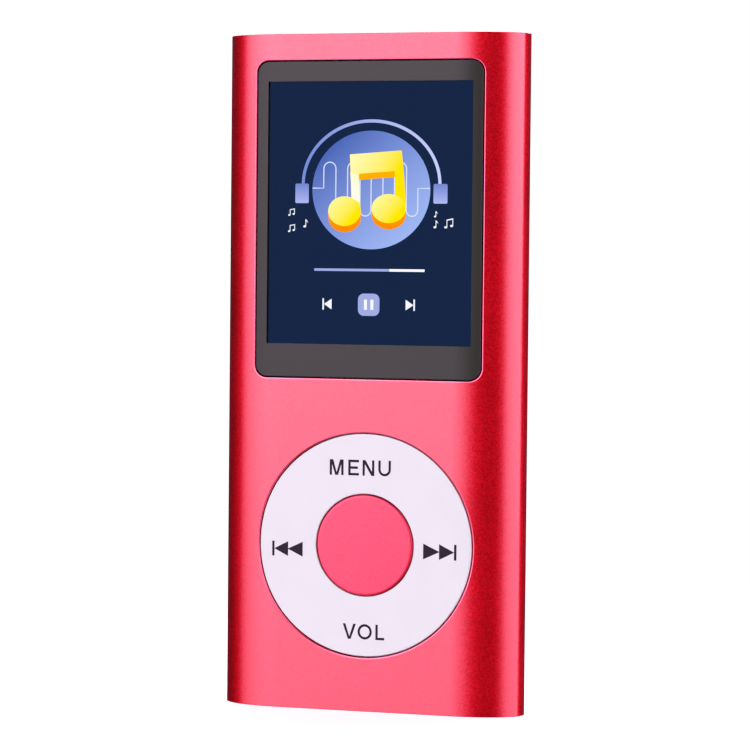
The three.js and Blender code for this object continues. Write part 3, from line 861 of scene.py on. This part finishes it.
class Picture:
    """A stack of thin closed shapes in millimetres, each layer in front of the last."""

    def __init__(self):
        self.bm = bmesh.new()
        self.materials = []
        self.level = 0

    def fill(self, outline, material):
        self.strips([outline], material)

    def strips(self, outlines, material):
        """Adds closed outlines to one new layer."""
        if material not in self.materials:
            self.materials.append(material)
        index = self.materials.index(material)
        self.level += 1
        near = POLARISER_FRONT - self.level * LAYER
        depths = (near, near + LAYER * 0.6)
        for outline in outlines:
            spots = [[(x * MM + PICTURE_SHIFT, y, z * MM) for x, z in outline] for y in depths]
            for face in join_ends(self.bm, *spots):
                face.material_index = index

    def line(self, path, width, material):
        left, right = ribbon(path, width)
        self.fill(left + list(reversed(right)), material)

    def piece(self, name):
        return dress(object_of(name, self.bm), CASING, "lcd_glass", *self.materials)


def wave_path():
    """A level line that swings up and down in round-ended strokes, then runs level again."""
    level, top, bottom = 69.5, 72.1, 66.6
    stops = [-6.6, -4.9, -3.25, -1.5, 0.05, 1.7, 3.3, 4.97, 6.56]
    path = [(-8.15, level), (stops[0], level)]
    for i, (a, b) in enumerate(zip(stops, stops[1:])):
        middle, half = (a + b) / 2, (b - a) / 2
        if i % 2 == 0:
            path += arc(middle, top, half, half, 180, 0, 10)
        else:
            path += arc(middle, bottom, half, half, 180, 360, 10)
    return path + [(stops[-1], level), (8.2, level)]


def note_parts(dz=0.0):
    """A pair of joined quavers: two stems with a beam, and two oval heads."""
    stems_and_beam = [(-2.93, 73.97), (4.3, 74.5), (4.72, 70.6), (4.93, 66.9), (3.5, 66.9),
                      (3.42, 69.4), (3.33, 71.78), (-1.66, 71.42), (-1.5, 69.2), (-1.38, 66.6),
                      (-2.65, 67.4), (-2.78, 71.0)]
    heads = [circle(x, z, half_x, 48, half_z) for x, z, half_x, half_z in HEADS.values()]
    return [moved_outline(part, 0, dz) for part in [stems_and_beam, *heads]]


def small_note(x, z, size, joined):
    """A tiny quaver, or a joined pair."""
    stem, left = 0.09, x + 0.12 * size
    right = left + stem
    shapes = [circle(x, z, 0.2 * size, 14, 0.15 * size),
              [(left, z), (right, z), (right, z + size), (left, z + size)]]
    if joined:
        apart, rise = size * 0.8, size * 0.18
        shapes += [moved_outline(shape, apart, rise) for shape in list(shapes)]
        low, high = z + size * 0.86, z + size
        end = right + apart
        shapes.append([(left, low), (end, low + rise), (end, high + rise), (left, high)])
    else:
        shapes.append([(right, z + size), (right, z + size * 0.75),
                       (right + size * 0.35, z + size * 0.5)])
    return shapes


def box_shape(x0, x1, z0, z1):
    return [(x0, z0), (x1, z0), (x1, z1), (x0, z1)]


def make_picture():
    """A player's screen: headphones round a disc, a pair of notes, and simple controls."""
    night = light_color("light_night", (0.0158, 0.0296, 0.0682))
    disc = light_color("light_disc", (0.074, 0.125, 0.42), (0.31, 0.42, 0.84), (-6, 75), (5, 63))
    band = light_color("light_band", (0.16, 0.23, 0.60), (0.52, 0.56, 0.92), (-10, 74), (10, 74))
    cup = light_color("light_cup", (0.16, 0.22, 0.56), (0.42, 0.46, 0.84), (0, 70), (0, 67))
    wave = light_color("light_wave", (0.62, 0.68, 0.98))
    gold = light_color("light_gold", (1, 0.93, 0.38), (1, 0.72, 0.0), (-2, 74), (3.4, 71))
    shine = light_color("light_shine", (1, 0.9, 0.3), (1, 0.98, 0.72), (-2.2, 73.8), (-2.1, 69.5))
    heads = [light_color(f"light_head_{name}", (1, 0.9, 0.26), (1, 0.73, 0.0),
                         (x - 1.5, z + 1.3), (x + 1.1, z - 0.9))
             for name, (x, z, _, _) in HEADS.items()]
    orange = light_color("light_orange", (1, 0.4, 0.0), (1, 0.24, 0.0), (0, 72), (0, 64))
    lilac = light_color("light_lilac", (0.32, 0.37, 0.68))
    white = light_color("light_white", (0.92, 0.93, 1))

    picture = Picture()
    picture.fill(rounded_rectangle(-14.45, 14.45, 48.5, 83.9, 0.2, 3), night)
    picture.line(arc(DISC_X, 70.0, 9.55, 8.4, 0, 180, 64), 0.42, band)
    picture.fill(circle(DISC_X, DISC_Z, DISC_HALF_WIDTH, 96, DISC_HALF_HEIGHT), disc)
    picture.strips([rounded_rectangle(x0, x1, CUP_LOW, CUP_HIGH, 0.18, 4)
                    for x0, x1 in ((-10.6, -8.7), (8.72, 10.65))], cup)
    picture.line(wave_path(), 0.15, wave)
    for step in range(4):
        for part in note_parts(NOTE_STEP * step - NOTE_DEPTH):
            picture.fill(part, orange)
    for part, material in zip(note_parts(), (gold, *heads)):
        picture.fill(part, material)
    picture.fill([(-2.85, 71.6), (-1.72, 71.3), (-1.55, 69.0), (-1.5, 67.6), (-2.6, 68.2)], shine)
    picture.fill(box_shape(BAR_START, BAR_REACHED, BAR_LOW, BAR_HIGH), lilac)
    picture.fill(box_shape(BAR_REACHED, BAR_END, BAR_LOW, BAR_HIGH), white)
    picture.fill(rounded_rectangle(-1.6, 1.4, 52.6, 55.55, 0.8, 8), lilac)
    picture.strips([rounded_rectangle(x - 0.2, x + 0.2, 53.4, 54.75, 0.06, 2)
                    for x in (-0.55, 0.35)], white)
    for side, middle in ((-1, -5.95), (1, 5.7)):
        triangle = [(-0.64, 53.4), (0.42, 54.1), (-0.64, 54.8)]
        signs = [box_shape(0.44, 0.64, 53.35, 54.85), triangle]
        picture.strips([[(middle + side * u, v) for u, v in sign] for sign in signs], white)
    for x, z, size, joined in ((-11.4, 65.9, 0.75, True), (-11.4, 63.75, 0.8, True),
                               (-9.2, 64.4, 0.95, False), (9.0, 65.8, 0.7, False),
                               (9.0, 64.4, 0.9, False), (10.5, 64.4, 1, True)):
        picture.strips(small_note(x, z, size, joined), white)
    return picture.piece("screen_picture")


def make_polariser():
    """The display's front sheet, which carries the picture just behind the lens."""
    edge = 0.3 * MM
    outline = rounded_rectangle(SCREEN_LEFT - edge, SCREEN_RIGHT + edge, SCREEN_LOW - edge,
                                SCREEN_HIGH + edge, 0.3 * MM, 4)
    sheet = prism("display_polariser", outline, POLARISER_FRONT, GLASS_FRONT - 0.01 * MM, "Y")
    round_edges(sheet, 0.04 * MM)
    smooth(sheet)
    return dress(sheet, CASING, "lcd_glass", DISPLAY_BLACK)


# ---- pieces refined from the frame
def refined(node, name, width, body, slot, material):
    """A copy of a CAD node with its flat faces made whole and its edges rounded."""
    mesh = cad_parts[node].data.copy()
    piece = new_object(name, mesh)
    bm = bmesh.new()
    bm.from_mesh(mesh)
    bmesh.ops.remove_doubles(bm, verts=bm.verts, dist=2e-6)
    bmesh.ops.dissolve_limit(bm, angle_limit=math.radians(0.5), verts=bm.verts, edges=bm.edges)
    bmesh.ops.recalc_face_normals(bm, faces=bm.faces)
    bmesh.ops.bevel(bm, geom=sharp_edges(bm, 25), offset=width * MM, segments=2, profile=0.5,
                    affect="EDGES", clamp_overlap=True)
    bm.to_mesh(mesh)
    bm.free()
    smooth(piece)
    return dress(piece, body, slot, material, stands_for=[node])


REFINED = [  # the node, the piece's name, its rounding in millimetres, its body, slot and material
    ("top_cap", "top_cap_moulding", 0.08, CASING, "cap_plastic", CAP_PLASTIC),
    ("bottom_cap", "bottom_cap_moulding", 0.08, CASING, "cap_plastic", CAP_PLASTIC),
    ("power_knob", "power_slider_knob", 0.06, SLIDER, "black_plastic", BLACK_PLASTIC),
    ("cap_screw_left", "screw_left", 0.05, CASING, "steel", STEEL),
    ("cap_screw_right", "screw_right", 0.05, CASING, "steel", STEEL),
    ("usb_shell", "usb_socket_shell", 0.05, CASING, "steel", STEEL),
    ("usb_tongue", "usb_socket_tongue", 0.05, CASING, "black_plastic", BLACK_PLASTIC),
    ("headphone_jack", "headphone_socket", 0.08, CASING, "black_plastic", BLACK_PLASTIC),
]


def make_usb_contacts():
    """Five gold contacts that lie on the socket's tongue."""
    low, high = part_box("usb_tongue")
    count, width, lift = 5, 0.36 * MM, 0.03 * MM
    bm = bmesh.new()
    for i in range(count):
        x = low.x + (high.x - low.x) * (i + 0.5) / count
        place = Matrix.Translation((x, high.y, (low.z + high.z) / 2))
        size = Matrix.Diagonal((width, 2 * lift, (high.z - low.z) * 0.8, 1))
        bmesh.ops.create_cube(bm, size=1, matrix=place @ size)
    bmesh.ops.bevel(bm, geom=bm.edges[:], offset=0.012 * MM, segments=2, affect="EDGES")
    contacts = object_of("usb_contacts", bm)
    smooth(contacts)
    return dress(contacts, CASING, "spring_bronze", GOLD)


# ---- nodes kept as they are
KEPT = [
    (FRAME_PLASTIC, ["inner_frame"]),
    (FOAM, ["lens_gasket", "battery_tape"]),
    (BLACK_PLASTIC, ["lcd_glass", "centre_switch_stem"]),
    (WHITE_PLASTIC, ["lcd_backlight"]),
    (FILM, ["lcd_flex"]),
    (SPRING, ["rocker_plate", "microphone"]),
    (STEEL, ["tact_switch_menu", "tact_switch_next", "tact_switch_volume", "tact_switch_previous",
             "tact_switch_centre", "power_switch", "card_socket", "board_screw_left",
             "board_screw_right", "crystal"]),
    (BOARD, ["main_board", "battery_board"]),
    (CHIP, ["processor_chip", "memory_chip", "radio_chip"]),
    (POUCH, ["battery_cell"]),
    (RED_WIRE, ["battery_lead_red"]),
    (BLACK_WIRE, ["battery_lead_black"]),
]


def dress_kept_nodes():
    """Gives a material to each CAD node that keeps its own mesh."""
    for material, nodes in KEPT:
        for node in nodes:
            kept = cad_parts[node]
            kept.data.materials.clear()
            kept.data.materials.append(material)


# ---- stage, lights and camera
CENTRE = Vector((0, 0, HEIGHT / 2))
VIEW_AZIMUTH, VIEW_ELEVATION, VIEW_ROLL = 18.5, 2.0, 0.55  # degrees
VIEW_DISTANCE = 0.448
FOCAL_LENGTH, SENSOR_WIDTH = 160.8, 36  # millimetres
SHIFT_X, SHIFT_Y = -0.0024, -0.0036
BACK_LIGHT_WIDTH, BACK_LIGHT_HEIGHT = 0.9, 0.7
BACK_LIGHT_POWER, BACK_LIGHT_ELEVATION, BACK_LIGHT_DISTANCE = 9.0, 52, 0.75
FLOOR_RADIUS = 4.0
FLOOR_GREY, FLOOR_GLOW = 0.5, 0.6  # what the floor reflects near the player, and its own light
SHADOW_NEAR, SHADOW_FAR = 0.03, 0.2  # where the floor's shadow starts to fade, and where it ends


def direction(azimuth, elevation):
    """The unit vector from the player towards a view: azimuth 0 is the front, 90 the right."""
    a, e = math.radians(azimuth), math.radians(elevation)
    return Vector((math.sin(a) * math.cos(e), -math.cos(a) * math.cos(e), math.sin(e)))


# The studio's brightness by azimuth and by elevation. In front, a wide light to the left with a
# soft right-hand edge, a dark gap and a light to the right. Behind, a wide light above and below
# a dark belt, so that the player's silhouette stays dark against its white surround.
BY_AZIMUTH = [(-180, 0.04), (-120, 0.04), (-90, 0.02), (-72, 0.05), (-64, 0.9),
              (-55, 1.6), (-45, 2.05), (-35, 2.4), (-19, 2.45), (-13, 1.9), (-7, 1.3), (0, 0.4),
              (6, 0.04), (34, 0.02), (41, 0.3), (48, 1.1), (56, 1.7), (66, 2.0), (97, 2.2),
              (104, 0.1), (112, 0.03), (180, 0.03)]
BY_ELEVATION = [(-75, 0), (-45, 0.5), (-18, 0.55), (-9, 0.66), (4, 1.45), (25, 1.4), (55, 1),
                (75, 0)]
BEHIND_BY_AZIMUTH = [(-180, 1), (-140, 1), (-120, 0.4), (-105, 0), (118, 0), (135, 0.8),
                     (150, 1), (180, 1)]
BEHIND_BY_ELEVATION = [(-75, 0), (-30, 1.6), (-19, 1.4), (-11, 0), (10, 0), (20, 1.8), (35, 2.2),
                       (75, 0)]
STUDIO_TINT = (1, 0.9, 1.2)
TONE = [(0.02, 0.012), (0.06, 0.052), (0.12, 0.125), (0.25, 0.28), (0.8, 0.87)]


def make_back_light():
    """A large soft light, high behind the player, that shows its back and its ends."""
    light = bpy.data.lights.new("back_light", "AREA")
    light.shape = "RECTANGLE"
    light.size, light.size_y = BACK_LIGHT_WIDTH, BACK_LIGHT_HEIGHT
    light.energy = BACK_LIGHT_POWER
    lamp = new_object("back_light", light)
    aim = direction(180, BACK_LIGHT_ELEVATION)
    lamp.location = CENTRE + aim * BACK_LIGHT_DISTANCE
    lamp.rotation_euler = aim.to_track_quat("Z", "Y").to_euler()
    lamp.visible_camera = False


def make_world():
    """A studio to be lit by, whose brightness changes smoothly round the player, and a white
    surround to look at."""
    world = bpy.data.worlds.new("studio")
    world.use_nodes = True
    bpy.context.scene.world = world
    nodes = Nodes(world.node_tree)
    toward = nodes.node("SeparateXYZ", nodes.node("TexCoord").outputs["Generated"]).outputs
    forward = nodes.math("MULTIPLY", toward["Y"], -1)
    azimuth = nodes.math("DEGREES", nodes.math("ARCTAN2", toward["X"], forward))
    elevation = nodes.math("DEGREES", nodes.math("ARCSINE", toward["Z"]))
    front = nodes.math("MULTIPLY", nodes.ramp(azimuth, 180, BY_AZIMUTH),
                       nodes.ramp(elevation, 90, BY_ELEVATION))
    behind = nodes.math("MULTIPLY", nodes.ramp(azimuth, 180, BEHIND_BY_AZIMUTH),
                        nodes.ramp(elevation, 90, BEHIND_BY_ELEVATION))
    studio = nodes.fill(nodes.tree.nodes["Background"],
                        {"Color": (*STUDIO_TINT, 1), "Strength": nodes.math("ADD", front, behind)})
    white = nodes.node("Background", Color=(1, 1, 1, 1))
    seen = nodes.node("LightPath").outputs["Is Camera Ray"]
    mix = nodes.node("MixShader", seen, studio, white)
    nodes.fill(nodes.tree.nodes["World Output"], {"Surface": mix})


def make_floor():
    """A white floor that shows only to the camera, with the player's own soft shadow on it."""
    bm = bmesh.new()
    bmesh.ops.create_circle(bm, cap_ends=True, radius=FLOOR_RADIUS, segments=96)
    floor = object_of("floor", bm)
    material = bpy.data.materials.new("floor_white")
    material.use_nodes = True
    material.node_tree.nodes.clear()
    nodes = Nodes(material.node_tree)
    lit = nodes.node("BsdfDiffuse", (*[FLOOR_GREY] * 3, 1))
    near = nodes.node("AddShader", lit, nodes.node("Emission", Strength=FLOOR_GLOW))
    away = nodes.vector_math("LENGTH", nodes.node("TexCoord").outputs["Object"])
    fade = nodes.node("MapRange", away.outputs["Value"], SHADOW_NEAR, SHADOW_FAR,
                      settings={"interpolation_type": "SMOOTHSTEP"})
    above = nodes.node("MixShader", fade, near, nodes.node("Emission"))
    under = nodes.node("NewGeometry").outputs["Backfacing"]
    sided = nodes.node("MixShader", under, above, nodes.node("BsdfTransparent"))
    nodes.node("OutputMaterial", sided)
    floor.data.materials.append(material)
    floor.visible_diffuse = floor.visible_glossy = floor.visible_transmission = False
    floor.visible_shadow = False


def make_camera():
    """A long lens a little to the player's right, barely above its middle."""
    data = bpy.data.cameras.new("camera")
    data.sensor_width = SENSOR_WIDTH
    data.lens = FOCAL_LENGTH
    data.shift_x, data.shift_y = SHIFT_X, SHIFT_Y
    data.clip_start, data.clip_end = 0.01, 20
    camera = new_object("camera", data)
    back = direction(VIEW_AZIMUTH, VIEW_ELEVATION)
    right = direction(VIEW_AZIMUTH + 90, 0)
    up = back.cross(right)
    roll = math.radians(VIEW_ROLL)
    tilted_right = right * math.cos(roll) + up * math.sin(roll)
    tilted_up = up * math.cos(roll) - right * math.sin(roll)
    turn = Matrix((tilted_right, tilted_up, back)).transposed().to_4x4()
    camera.matrix_world = Matrix.Translation(CENTRE + back * VIEW_DISTANCE) @ turn
    bpy.context.scene.camera = camera


def develop():
    """Plain colours, with a product photograph's slightly deeper darks and lifted lights."""
    view = bpy.context.scene.view_settings
    view.view_transform = "Standard"
    view.use_curve_mapping = True
    tone = view.curve_mapping.curves[3]
    for lit, shown in TONE:
        tone.points.new(lit, shown)
    view.curve_mapping.update()


# ---- the scene
make_camera()
make_world()
make_back_light()
make_floor()
make_tube()
make_lens()
make_ring()
make_button()
make_legends()
make_polariser()
make_picture()
for row in REFINED:
    refined(*row)
make_usb_contacts()
dress_kept_nodes()
develop()
